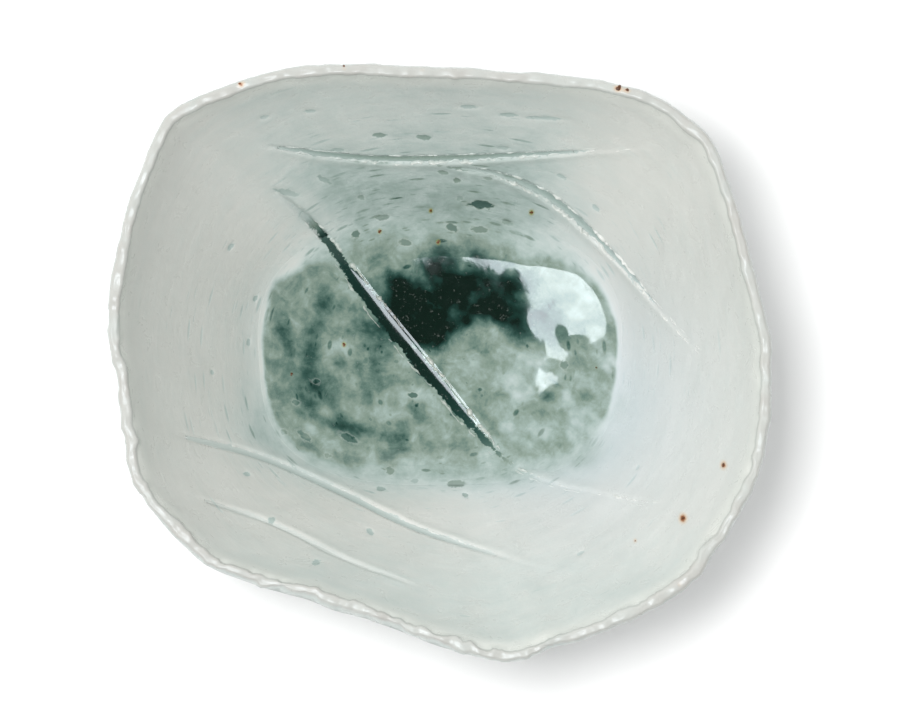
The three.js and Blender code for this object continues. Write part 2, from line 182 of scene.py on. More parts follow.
def smoothCurve(points, count, closed):
    # Catmull-Rom through the points, sampled at even steps of its length
    knots = np.asarray(points, float)
    if closed:
        knots = np.vstack([knots[-1:], knots, knots[:2]])
    else:
        knots = np.vstack([2 * knots[0] - knots[1], knots, 2 * knots[-1] - knots[-2]])
    t = np.linspace(0, 1, 40, endpoint=False)[None, :, None]
    a = knots[1:-2, None]
    b = knots[2:-1, None]
    slopeA = (b - knots[:-3, None]) * 0.5
    slopeB = (knots[3:, None] - a) * 0.5
    curve = ((2 * t**3 - 3 * t**2 + 1) * a + (t**3 - 2 * t**2 + t) * slopeA
             + (-2 * t**3 + 3 * t**2) * b + (t**3 - t**2) * slopeB).reshape(-1, 2)
    curve = np.vstack([curve, knots[-2]])
    length = np.concatenate([[0], np.cumsum(np.hypot(*np.diff(curve, axis=0).T))])
    wanted = np.linspace(0, length[-1], count, endpoint=not closed)
    return np.column_stack([np.interp(wanted, length, curve[:, axis]) for axis in (0, 1)])


def raggedness(angle):
    near = 0.5 + 0.5 * np.cos(angle - math.radians(bowl["tearCentre"]))
    return bowl["calmShare"] + (1 - bowl["calmShare"]) * near * near


def makeLip():
    # The outline's curve, torn by three waves, then fitted to the width and depth
    points = smoothCurve(np.array(lipOutline) * halfSize, bowl["columns"], True)
    angle = np.arctan2(points[:, 1], points[:, 0])
    wave = 0.5 * np.sin(13 * angle + 1.3) + 0.3 * np.sin(22 * angle + 0.4) + 0.2 * np.sin(31 * angle)
    reach = np.hypot(points[:, 0], points[:, 1])
    points = points * (1 + bowl["tearDepth"] * raggedness(angle) * wave / reach)[:, None]
    low = points.min(axis=0)
    high = points.max(axis=0)
    points = (points - (low + high) / 2) * (2 * halfSize) / (high - low)
    return points[::-1]      # the list runs clockwise, and columns run the other way


lipPoints = makeLip()
lipAngle = np.arctan2(lipPoints[:, 1], lipPoints[:, 0])
lipRadius = np.hypot(lipPoints[:, 0], lipPoints[:, 1])


def lipReach(angle):
    return np.interp(angle, lipAngle, lipRadius, period=2 * np.pi)


def crestHeight(angle):
    sway = bowl["lipFall"] * (1 - np.cos(2 * (angle - math.radians(bowl["lipHighAngle"])))) / 2
    torn = bowl["tearRise"] * raggedness(angle) * (1 + np.sin(23 * angle + 2.1)) / 2
    return bowl["height"] - sway - torn


def wellReach(angle):
    # A squarish oval about the axis, moved towards +Y
    power = well["squareness"]
    across = np.abs(np.cos(angle) / (well["length"] / 2))**power
    along = np.abs(np.sin(angle) / (well["width"] / 2))**power
    return (across + along)**(-1 / power) + well["shift"] * np.sin(angle)


def innerHeight(angle, reach):
    # Dished floor and bowed wall, with a rounded knee between them
    edge = wellReach(angle)
    top = lipReach(angle) - bowl["lipThickness"]
    upWall = np.minimum((reach - edge) / (top - edge), 1)
    floor = floorHeight + well["dish"] * (reach / edge)**2
    rise = crestHeight(angle) - bowl["lipRound"] - wellEdgeHeight
    wall = wellEdgeHeight + rise * (1 - (1 - upWall)**bowl["wallBow"])
    return np.where(upWall > 0.5, wall, smoothMax(floor, wall, bowl["kneeRound"]))


def poolHeight(angle, reach):
    # Flatter than the floor, and drawn up to meet the wall at the well's edge
    edge = wellReach(angle)
    middle = floorHeight + well["poolDepth"]
    rise = innerHeight(angle, edge) + well["gap"] - middle
    share = reach / edge
    return middle + rise * ((1 - well["rimShare"]) * share**2 + well["rimShare"] * share**6)


def outerReach(angle, height):
    # The wall's thickness outside the inner face, or a full side from foot to lip, whichever is further out
    edge = wellReach(angle)
    top = lipReach(angle) - bowl["lipThickness"]
    lipEdge = crestHeight(angle) - bowl["lipRound"]
    upWall = (height - wellEdgeHeight) / (lipEdge - wellEdgeHeight)
    inner = edge + (top - edge) * (1 - np.maximum(1 - upWall, 0)**(1 / bowl["wallBow"]))
    mix = np.clip(upWall, 0, 1)**2
    thickness = bowl["wallThickness"] * (1 - mix) + bowl["lipThickness"] * mix
    upSide = np.clip((height - bowl["footHeight"]) / (lipEdge - bowl["footHeight"]), 0, 1)
    seat = bowl["seatRadius"]
    side = seat + (top + bowl["lipThickness"] - bowl["bellyRound"] / 4 - seat) * upSide**bowl["bellyBow"]
    wall = smoothMax(inner + thickness, side, bowl["bellyRound"] * (1 - upSide) + 0.01)
    upBelly = np.clip((height - bowl["footHeight"]) / bowl["bellyHeight"], 0, 1)
    return seat + (wall - seat) * np.sqrt(1 - (1 - upBelly)**2)


def onFace(angle, reach, height):
    return np.stack([reach * np.cos(angle), reach * np.sin(angle), height + 0 * reach], axis=-1)


def placeOn(heightAt, x, y):
    angle = np.arctan2(y, x)
    reach = np.hypot(x, y)
    return onFace(angle, reach, heightAt(angle, reach))


def faceNormal(heightAt, x, y):
    # The way out of a face, from its slope measured over a short step
    step = 0.8
    acrossX = placeOn(heightAt, x + step, y) - placeOn(heightAt, x - step, y)
    acrossY = placeOn(heightAt, x, y + step) - placeOn(heightAt, x, y - step)
    out = np.cross(acrossX, acrossY)
    return out / np.linalg.norm(out, axis=-1, keepdims=True)


def makeStations(gash, heightAt, count=260):
    # Places along a gash, with the way across it, along it and out of the face
    xy = smoothCurve(np.array(gash["route"]) * halfSize, count, False)
    point = placeOn(heightAt, xy[:, 0], xy[:, 1])
    out = faceNormal(heightAt, xy[:, 0], xy[:, 1])
    heading = np.gradient(point, axis=0)
    heading /= np.linalg.norm(heading, axis=1, keepdims=True)
    across = np.cross(out, heading)
    along = np.linspace(0, 1, count)
    distance = np.where(along < gash["widestAt"], 1 - along / gash["widestAt"],
                        np.minimum((along - gash["widestAt"]) / (gash["endsAt"] - gash["widestAt"]), 1))
    opened = np.cos(distance * np.pi / 2)**0.8
    length = np.sum(np.linalg.norm(np.diff(point, axis=0), axis=1))
    return {"point": point, "out": out, "heading": heading, "across": across,
            "along": along, "open": opened, "length": length}


def followGash(points, stations, margin=5.0):
    # For each point near a gash: how far across it lies, how far along, and how open the cut is there
    low = stations["point"].min(axis=0) - margin
    high = stations["point"].max(axis=0) + margin
    near = np.flatnonzero(np.all((points > low) & (points < high), axis=1))
    offset = points[near, None, :] - stations["point"][None, :, :]
    closest = np.argmin(np.einsum("ijk,ijk->ij", offset, offset), axis=1)
    offset = offset[np.arange(len(near)), closest]
    across = np.einsum("ij,ij->i", offset, stations["across"][closest])
    beyond = np.abs(np.einsum("ij,ij->i", offset, stations["heading"][closest]))
    along = stations["along"][closest]
    ending = hill(np.maximum(beyond - 0.4, 0), 1.0)
    opened = stations["open"][closest] * ending
    swell = np.sin(np.pi * np.clip(along, 0.01, 0.99))**0.5 * ending
    keep = np.abs(across) < margin
    return near[keep], across[keep], along[keep], opened[keep], swell[keep]


def gashHalfWidth(gash, opened):
    return gash["width"] / 2 * (0.2 + 0.8 * opened)


def lowSwell(gash, across, opened, swell):
    # The clay pushed up beside the cut, under its torn edge
    centre = gashHalfWidth(gash, opened) + gash["edgeWidth"] * 0.3
    beyond = gash["edgeSide"] * across - centre
    width = np.where(beyond < 0, gash["edgeWidth"] * 0.3, gash["edgeWidth"] * 0.9)
    return 0.4 * gash["relief"] * gash["edgeHeight"] * swell * hill(beyond, width)


def fillToneAt(gash, along, opened):
    # The glass in a cut starts a little way along it, and is darkest where the cut is open
    return gash["fillTone"] * smoothStep(0.05, 0.15, along) * opened**0.3


def cutDepth(gash, across, opened):
    # A parabola across the cut, raised to a power that rounds its borders
    inside = np.clip(1 - (across / gashHalfWidth(gash, opened))**2, 0, 1)
    return gash["relief"] * gash["depth"] * opened * inside**(0.8 * gash["softness"])


print("stage: glass tones")

# Tone is how much green glass lies over a spot: 0 bare pale glaze, 1 almost black.
# Places are seen from above, in millimetres from the axis; turns are in degrees.
tones = {
    "pool": 0.53,               # over most of the well
    "veil": 0.38,               # thinner green running up the wall above the well
    "veilFrom": 30.0,
    "veilTo": 55.0,
    "below": 0.36,              # and a little below it
    # the crescent: thick glass, with a painted dark reflection over it
    "crescent": 0.47,           # the dark sweep over the middle
    "crescentAt": (8.8, -0.4),
    "crescentInner": 6.8,
    "crescentOuter": 17.5,
    "crescentFade": 10.5,
    "centre": -0.03,            # the light patch below the crescent
    "centreAt": (9.5, -4.0),
    "ring": 0.19,               # the dark arc on the left
    "ringShare": 0.73,
    "mottle": 0.11,
    # painted shade: extra tone that darkens the wall at the top and at the bottom
    "topWallPaintedShade": 0.15,
    "bottomWallPaintedShade": 0.14,
}
# Soft blots of darker glass: x, y, half length, half width, turn, tone
blots = [
    (22.6, -7.4, 2.6, 1.6, 30, 0.18), (25.2, -4.4, 1.8, 0.8, -35, 0.22), (-15.5, 1.5, 3.2, 6.5, 25, 0.15),
    (-11.0, 18.5, 6.0, 3.6, -35, 0.10), (-24.0, 18.0, 3.2, 2.6, 20, 0.08), (0.0, 24.0, 7.0, 3.0, 4, 0.12),
    (-8.0, -9.0, 3.6, 2.2, -30, 0.10), (-20.5, -11.0, 3.2, 2.4, -30, 0.10),
    (-6.0, -19.0, 4.2, 1.6, -10, 0.08), (29.0, -6.0, 2.6, 4.5, 20, 0.05),
    (-33.5, 4.0, 1.8, 4.6, 5, 0.08), (-28.0, 20.0, 6.0, 5.0, 15, -0.07),
    (4.0, -22.0, 5.0, 1.6, 5, 0.07), (-2.5, 7.0, 3.0, 4.5, 30, 0.12), (28.0, 7.0, 8.0, 9.0, 5, 0.13),
]
# Small crisp marks, glass lying in pits: x, y, half length, half width, turn, tone
marks = [
    (8.8, 34.2, 2.9, 0.85, -5, 0.78), (-12.9, 48.6, 1.6, 0.5, -3, 0.5), (-3.4, 48.2, 1.6, 0.55, -4, 0.5),
    (-33.0, 36.8, 2.8, 0.7, -12, 0.36), (-25.0, 39.4, 1.7, 0.55, -24, 0.42), (-17.0, 35.7, 0.9, 0.5, -8, 0.5),
    (0.6, 41.0, 1.3, 0.45, -8, 0.52), (3.6, 39.3, 0.85, 0.65, -10, 0.55), (10.3, 39.8, 1.1, 0.42, -10, 0.5),
    (4.3, 35.6, 0.8, 0.55, 0, 0.45), (2.6, 29.4, 1.5, 0.8, -30, 0.66), (8.6, 29.0, 1.9, 0.7, -6, 0.6),
    (-18.3, 28.0, 1.0, 0.75, 20, 0.66), (6.0, 54.3, 2.2, 0.38, -2, 0.34), (14.5, 52.6, 2.2, 0.38, -3, 0.36),
    (22.0, 51.8, 4.6, 0.35, -3, 0.3), (-27.5, 53.4, 1.3, 0.4, 6, 0.3), (-37.0, 52.0, 1.0, 0.4, 12, 0.28),
    (-31.4, -8.6, 0.9, 0.6, -30, 0.5), (-34.0, -15.0, 0.8, 0.6, -30, 0.42),
    (-29.6, -15.8, 1.8, 0.7, -36, 0.5), (-19.8, -16.3, 2.0, 0.8, -26, 0.74),
    (-10.8, -23.5, 1.0, 0.9, -60, 0.56), (-12.9, -27.2, 1.1, 0.5, -4, 0.42),
    (-24.4, -20.2, 0.7, 0.55, 0, 0.4), (-41.5, -23.9, 0.8, 0.5, -20, 0.32),
    (-36.0, -33.6, 0.8, 0.6, -30, 0.34), (-26.2, -42.2, 1.0, 0.7, 10, 0.32),
    (-15.0, -36.1, 0.9, 0.5, -40, 0.32), (3.5, -26.2, 2.1, 0.8, 4, 0.55),
    (5.5, -28.6, 0.8, 0.45, -30, 0.5), (-5.5, -25.6, 0.9, 0.5, 0, 0.4), (-40.0, 14.0, 0.8, 0.5, 60, 0.36),
    (-41.5, 4.5, 0.9, 0.45, 80, 0.34), (-45.0, 25.0, 1.0, 0.45, 50, 0.3), (-22.0, 45.5, 1.6, 0.45, -4, 0.36),
    (13.5, 46.0, 1.5, 0.4, -4, 0.36), (26.0, 40.0, 1.4, 0.45, -30, 0.34), (33.5, 33.5, 1.2, 0.45, -42, 0.3),
    (-12.4, 31.5, 1.6, 0.6, 4, 0.5), (14.5, 30.5, 1.5, 0.6, -24, 0.45), (-7.5, 26.2, 1.4, 0.7, -12, 0.62),
    (27.0, -0.5, 0.8, 1.2, 10, 0.62), (-27.0, -4.0, 0.9, 0.6, 0, 0.68), (-6.0, -7.0, 1.2, 0.55, -4, 0.72),
    (42.5, -22.5, 0.7, 0.35, 40, 0.26), (30.0, -40.5, 1.0, 0.4, 30, 0.24), (-49.0, -2.0, 0.6, 0.4, 90, 0.28),
]
# Grains of iron in the glaze: x, y, half size, how rusty and how olive the glaze is round them
specks = [
    (60.0, -21.6, 0.42, 0.9, 0.0), (51.6, -33.0, 0.55, 1.0, 0.0), (41.6, -37.9, 0.22, 0.4, 0.0),
    (50.6, -46.6, 0.3, 0.15, 0.0), (-2.0, 33.0, 0.3, 0.0, 1.0), (-13.1, 28.6, 0.38, 0.0, 0.7),
    (-0.4, 26.3, 0.36, 0.0, 0.8), (19.8, 32.6, 0.4, 0.0, 1.0), (-20.9, 4.0, 0.35, 0.0, 0.9),
    (-32.3, -2.4, 0.3, 0.0, 0.3), (34.0, -1.0, 0.2, 0.0, 0.4),
]
# Grains on the lip: direction, half size, how rusty
lipSpecks = [(125.5, 0.42, 0.8), (108.0, 0.4, 0.15), (93.5, 0.35, 0.1), (57.0, 0.55, 0.9), (55.6, 0.4, 0.6)]


def oval(x, y, place):
    # A bell stretched and turned as a blot or a mark is
    atX, atY, long, wide, turn, _ = place
    c = math.cos(math.radians(turn))
    s = math.sin(math.radians(turn))
    u = (x - atX) * c + (y - atY) * s
    v = -(x - atX) * s + (y - atY) * c
    return np.exp(-(u / long)**2 - (v / wide)**2)


def toneAt(x, y):
    angle = np.arctan2(y, x)
    reach = np.hypot(x, y)
    share = reach / wellReach(angle)
    sideways = np.cos(angle)**2
    wander = roughNoise(x, y, 8.0, 21)
    fade = 0.015 + 0.2 * (1 - sideways)**1.5
    middle = 1.0 - 0.06 * (1 - sideways)
    drift = 0.07 * wander * (1 - sideways) + 0.006 * wander
    inside = smoothStep(middle + fade, middle - fade, share + drift)
    tone = (tones["pool"] - 0.002 * x) * inside

    over = smoothStep(tones["veilTo"], tones["veilFrom"], y + 3 * wander)
    over = over * smoothStep(-38, -20, x + 4 * wander) * smoothStep(40, 12, x + 4 * wander) * (y > 0)
    under = hill(np.maximum(share - 1, 0), 0.2) * smoothStep(0.2, -0.5, np.sin(angle))
    beside = 0.12 * hill(np.maximum(share - 1, 0), 0.16) * (x < 0)
    around = np.maximum(tones["veil"] * over, tones["below"] * under)
    tone = tone + (1 - inside) * np.maximum(around * (1 + 0.25 * wander), beside)

    # the dark crescent: thick glass, with a painted dark reflection over it
    dx = x - tones["crescentAt"][0]
    dy = y - tones["crescentAt"][1]
    distance = np.hypot(dx, dy) + 1.3 * roughNoise(x, y, 5.0, 5)
    turn = np.degrees(np.arctan2(dy, dx))
    wider = 3 * smoothStep(80, 130, turn)
    outer = tones["crescentOuter"] + wider
    radial = smoothStep(tones["crescentInner"], tones["crescentInner"] + 5.0, distance)
    radial = radial * smoothStep(outer + tones["crescentFade"], outer, distance)
    window = smoothStep(2, 45, turn) * smoothStep(176, 150, turn)
    window = window * (1 - 0.55 * smoothStep(15, 21, x))
    tone = tone + tones["crescent"] * radial * window * (1 + 0.2 * roughNoise(x, y, 3.0, 8))
    centre = np.hypot(x - tones["centreAt"][0], y - tones["centreAt"][1])
    tone = tone - tones["centre"] * hill(centre, 9.0) * inside

    turned = np.degrees(angle) % 360
    arc = smoothStep(138, 160, turned) * smoothStep(262, 225, turned)
    broken = 1 + 0.6 * roughNoise(x, y, 3.5, 9, 2)
    tone = tone + tones["ring"] * hill(share - tones["ringShare"] - 0.03 * wander, 0.07) * arc * broken
    # painted shade darkening the wall at the top and at the bottom
    tone = tone + tones["topWallPaintedShade"] * smoothStep(26, 48, y) * smoothStep(50, 25, np.abs(x + 8))
    tone = tone + tones["bottomWallPaintedShade"] * smoothStep(-30, -50, y)
    swirl = roughNoise(x + 0.3 * y, y, 3.6, 31)
    tone = tone + tones["mottle"] * swirl * (0.12 + 0.88 * inside)
    for blot in blots:
        tone = tone + blot[5] * oval(x, y, blot) * (1 + 0.3 * wander)
    return np.clip(tone, 0, 1.05)


def marksAt(x, y):
    # How far inside a mark each point is (1 at its middle), and the tone of the mark it is nearest to
    depth = np.zeros(len(x))
    tone = np.zeros(len(x))
    for mark in marks:
        near = np.flatnonzero(np.hypot(x - mark[0], y - mark[1]) < 3 * mark[2])
        bell = oval(x[near], y[near], mark)
        stronger = bell > depth[near]
        depth[near] = np.maximum(depth[near], bell)
        tone[near] = np.where(stronger, mark[5], tone[near])
    return depth, tone


def dashesAt(x, y):
    # Where the glaze is full of small marks: thick above the well, thinner round it, few elsewhere
    angle = np.arctan2(y, x)
    share = np.hypot(x, y) / wellReach(angle)
    above = smoothStep(58, 34, y) * smoothStep(-44, -24, x) * smoothStep(36, 16, x) * (y > 0)
    around = smoothStep(1.6, 1.05, share) * 0.6
    inside = smoothStep(1.0, 0.94, share)
    return np.clip(np.maximum(np.maximum(above, around) * (1 - inside) + 0.18 * inside, 0.04), 0, 1)


def lipSpot(degrees):
    # Where a grain on the lip lies
    angle = math.radians(degrees)
    reach = float(lipReach(angle)) - 1.0
    return reach * math.cos(angle), reach * math.sin(angle), float(crestHeight(angle)) - 0.35


def speckTints(x, y):
    rust = np.zeros(len(x))
    olive = np.zeros(len(x))
    for atX, atY, size, rusty, green in specks:
        near = hill(np.hypot(x - atX, (y - atY) * 0.8), size + 0.12)
        rust = np.maximum(rust, rusty * near)
        olive = np.maximum(olive, green * near)
    for degrees, size, rusty in lipSpecks:
        atX, atY, _ = lipSpot(degrees)
        near = hill(np.hypot(x - atX, y - atY), size + 0.12)
        rust = np.maximum(rust, rusty * near)
    return rust, olive


def setFloats(mesh, name, values):
    layer = mesh.attributes.new(name, "FLOAT", "POINT")
    layer.data.foreach_set("value", np.ascontiguousarray(values, dtype=np.float32).ravel())


def dressSurface(mesh, points, green, pale, cutInside, cutTone, dull=0.0, lip=0.0):
    # The attributes that the glaze reads, worked out where the surface lay before it was displaced.
    # flow turns with the bowl, so that noise on it is drawn out along the throwing lines.
    x = points[:, 0]
    y = points[:, 1]
    # the outer face gets a fixed tone: a slightly greener glaze, darkened as painted shade for the outer face
    # below the lip
    tone = np.where(green, toneAt(x, y), 0.2)
    depth, markTone = marksAt(x, y)
    rust, olive = speckTints(x, y)
    # painted reflection: a bluish sheen on the pale glaze right of the pool, over the glaze's own bluer tint
    # near the pool
    bluishTintAndPaintedSheen = hill(np.hypot((x - 30) / 26, (y + 8) / 26), 1.0) * smoothStep(0.5, 0.15, tone)
    angle = np.arctan2(y, x)
    profile = np.hypot(x, y) + 0.8 * points[:, 2]
    setFloats(mesh, "tone", tone)
    setFloats(mesh, "markDepth", np.where(green, depth, 0))
    setFloats(mesh, "markTone", markTone)
    setFloats(mesh, "dashes", np.where(green, dashesAt(x, y), 0.1))
    setFloats(mesh, "bluishTintAndPaintedSheen", np.where(green, bluishTintAndPaintedSheen, 0))
    setFloats(mesh, "rust", np.where(green | (lip + 0 * x > 0), rust, 0))
    setFloats(mesh, "olive", np.where(green, olive, 0))
    setFloats(mesh, "pale", pale)
    setFloats(mesh, "cutInside", cutInside)
    setFloats(mesh, "cutTone", cutTone)
    setFloats(mesh, "dull", dull + 0 * x)
    setFloats(mesh, "lip", lip + 0 * x)
    flow = np.stack([16 * np.cos(angle), 16 * np.sin(angle), profile], axis=-1)
    layer = mesh.attributes.new("flow", "FLOAT_VECTOR", "POINT")
    layer.data.foreach_set("vector", flow.astype(np.float32).ravel())
    return depth


def makePiece(name, vertices, faces, material, slotName, *nodes):
    mesh = bpy.data.meshes.new(name)
    mesh.from_pydata((vertices * mm).tolist(), [], faces)
    mesh.polygons.foreach_set("use_smooth", np.ones(len(mesh.polygons), bool))
    mesh.update()
    mesh.materials.append(material)
    piece = bpy.data.objects.new(name, mesh)
    bpy.context.scene.collection.objects.link(piece)
    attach(piece, "root")
    if nodes:
        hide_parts(*nodes)
    return piece


def ringFaces(ringCount, columnCount):
    # Faces of rings joined from a pole (vertex 0) to a pole (last vertex)
    index = 1 + np.arange(ringCount * columnCount).reshape(ringCount, columnCount)
    following = np.roll(index, -1, axis=1)
    quads = np.stack([index[:-1], following[:-1], following[1:], index[1:]], axis=-1).reshape(-1, 4)
    first = np.stack([np.zeros(columnCount, int), following[0], index[0]], axis=-1)
    lastPole = np.full(columnCount, ringCount * columnCount + 1)
    last = np.stack([index[-1], following[-1], lastPole], axis=-1)
    return first.tolist() + quads.tolist() + last.tolist()


def withPoles(rings, firstPole, lastPole):
    return np.concatenate([[firstPole], rings.reshape(-1, 3), [lastPole]])


print("stage: materials")


def addNode(tree, kind, **settings):
    node = tree.nodes.new(kind)
    for name, value in settings.items():
        setattr(node, name, value)
    return node


def join(tree, source, target):
    tree.links.new(source, target)


def feed(tree, socket, value):
    if isinstance(value, (int, float)):
        socket.default_value = value
    elif isinstance(value, tuple):
        socket.default_value = (*value, 1)
    else:
        join(tree, value, socket)


def mathNode(tree, operation, first, second):
    node = addNode(tree, "ShaderNodeMath", operation=operation)
    feed(tree, node.inputs[0], first)
    feed(tree, node.inputs[1], second)
    return node.outputs[0]


def mapRange(tree, value, low, high, newLow=0.0, newHigh=1.0, smooth=False):
    node = addNode(tree, "ShaderNodeMapRange", interpolation_type="SMOOTHSTEP" if smooth else "LINEAR")
    join(tree, value, node.inputs["Value"])
    for name, number in (("From Min", low), ("From Max", high), ("To Min", newLow), ("To Max", newHigh)):
        node.inputs[name].default_value = number
    return node.outputs["Result"]


def noiseNode(tree, vector, scale, detail=3.0, roughness=0.55, distortion=0.0):
    node = addNode(tree, "ShaderNodeTexNoise")
    join(tree, vector, node.inputs["Vector"])
    node.inputs["Scale"].default_value = scale
    node.inputs["Detail"].default_value = detail
    node.inputs["Roughness"].default_value = roughness
    node.inputs["Distortion"].default_value = distortion
    return node.outputs["Fac"]


def mixColour(tree, share, first, second):
    node = addNode(tree, "ShaderNodeMix", data_type="RGBA")
    feed(tree, node.inputs[0], share)
    feed(tree, node.inputs[6], first)
    feed(tree, node.inputs[7], second)
    return node.outputs[2]


def attribute(tree, name, output="Fac"):
    return addNode(tree, "ShaderNodeAttribute", attribute_name=name).outputs[output]


def fromScreen(red, green, blue):
    # A colour as seen on a screen, 0 to 255, as the shader's own linear values
    return tuple(((c / 255 + 0.055) / 1.055)**2.4 if c > 10 else c / 3294 for c in (red, green, blue))


# How the glass darkens as it gets deeper: tone and the colour of the fired surface
glassDepths = [
    (0.00, (205, 206, 201)), (0.16, (194, 201, 197)), (0.30, (174, 187, 183)), (0.44, (147, 164, 158)),
    (0.56, (123, 140, 129)), (0.68, (90, 114, 105)), (0.80, (50, 79, 72)), (0.90, (22, 51, 45)),
    (1.00, (7, 26, 19)),
]


def makeDashes(tree, flow, zone, scale, reach):
    # Spindles along the throwing lines: cells stretched that way, and a mark at the middle of some of them
    stretch = addNode(tree, "ShaderNodeVectorMath", operation="MULTIPLY")
    join(tree, flow, stretch.inputs[0])
    stretch.inputs[1].default_value = (0.75, 0.75, 1)
    cells = addNode(tree, "ShaderNodeTexVoronoi", feature="F1")
    join(tree, stretch.outputs[0], cells.inputs["Vector"])
    cells.inputs["Scale"].default_value = scale
    lot = addNode(tree, "ShaderNodeSeparateColor")
    join(tree, cells.outputs["Color"], lot.inputs[0])
    chosen = mathNode(tree, "LESS_THAN", lot.outputs[0], mathNode(tree, "MULTIPLY", zone, 0.6))
    mark = mapRange(tree, cells.outputs["Distance"], reach, reach * 0.45, 0, 1, True)
    strength = mapRange(tree, lot.outputs[1], 0, 1, 0.25, 1.0)
    return mathNode(tree, "MULTIPLY", mathNode(tree, "MULTIPLY", mark, chosen), strength)


# What the glaze is made of. A pair holds how far a noise moves the tone on bare glaze and on thick glass.
glaze = {
    "cloudScale": 230.0,        # cloud and grain run on places in metres
    "grainScale": 1100.0,
    "streakScale": 0.34,        # streak and smear run on the flow attribute, in millimetres
    "smearScale": 1.1,
    "cloudy": (0.10, 0.46),
    "grainy": (0.03, 0.18),
    "streaky": 0.16,
    "smeary": (0.03, 0.12),
    "calmInDark": 0.3,          # what is left of cloud and grain in the darkest glass
    "largeDash": {"scale": 0.5, "reach": 0.34, "tone": 0.24},
    "smallDash": {"scale": 0.85, "reach": 0.32, "tone": 0.14},
    # painted reflection: the bluish sheen right of the pool, with the glaze's bluer tint
    "bluishTintAndPaintedSheenShare": 0.75,
    "bluishTintAndPaintedSheen": (204, 212, 218),
    "markRimShare": 0.12,
    "markRim": (214, 220, 214),
    # the paler colour: painted highlight on crests and painted light inside the lip, where the glaze is also
    # thinner
    "pale": (222, 223, 217),
    # painted shade: the darker colour given to the lip's top, which faces the full light
    "lip": (177, 177, 172),
    "rust": ((208, 176, 140), (126, 68, 36)),       # at the stain's edge and at its middle
    "olive": ((146, 146, 82), (120, 104, 20)),
}


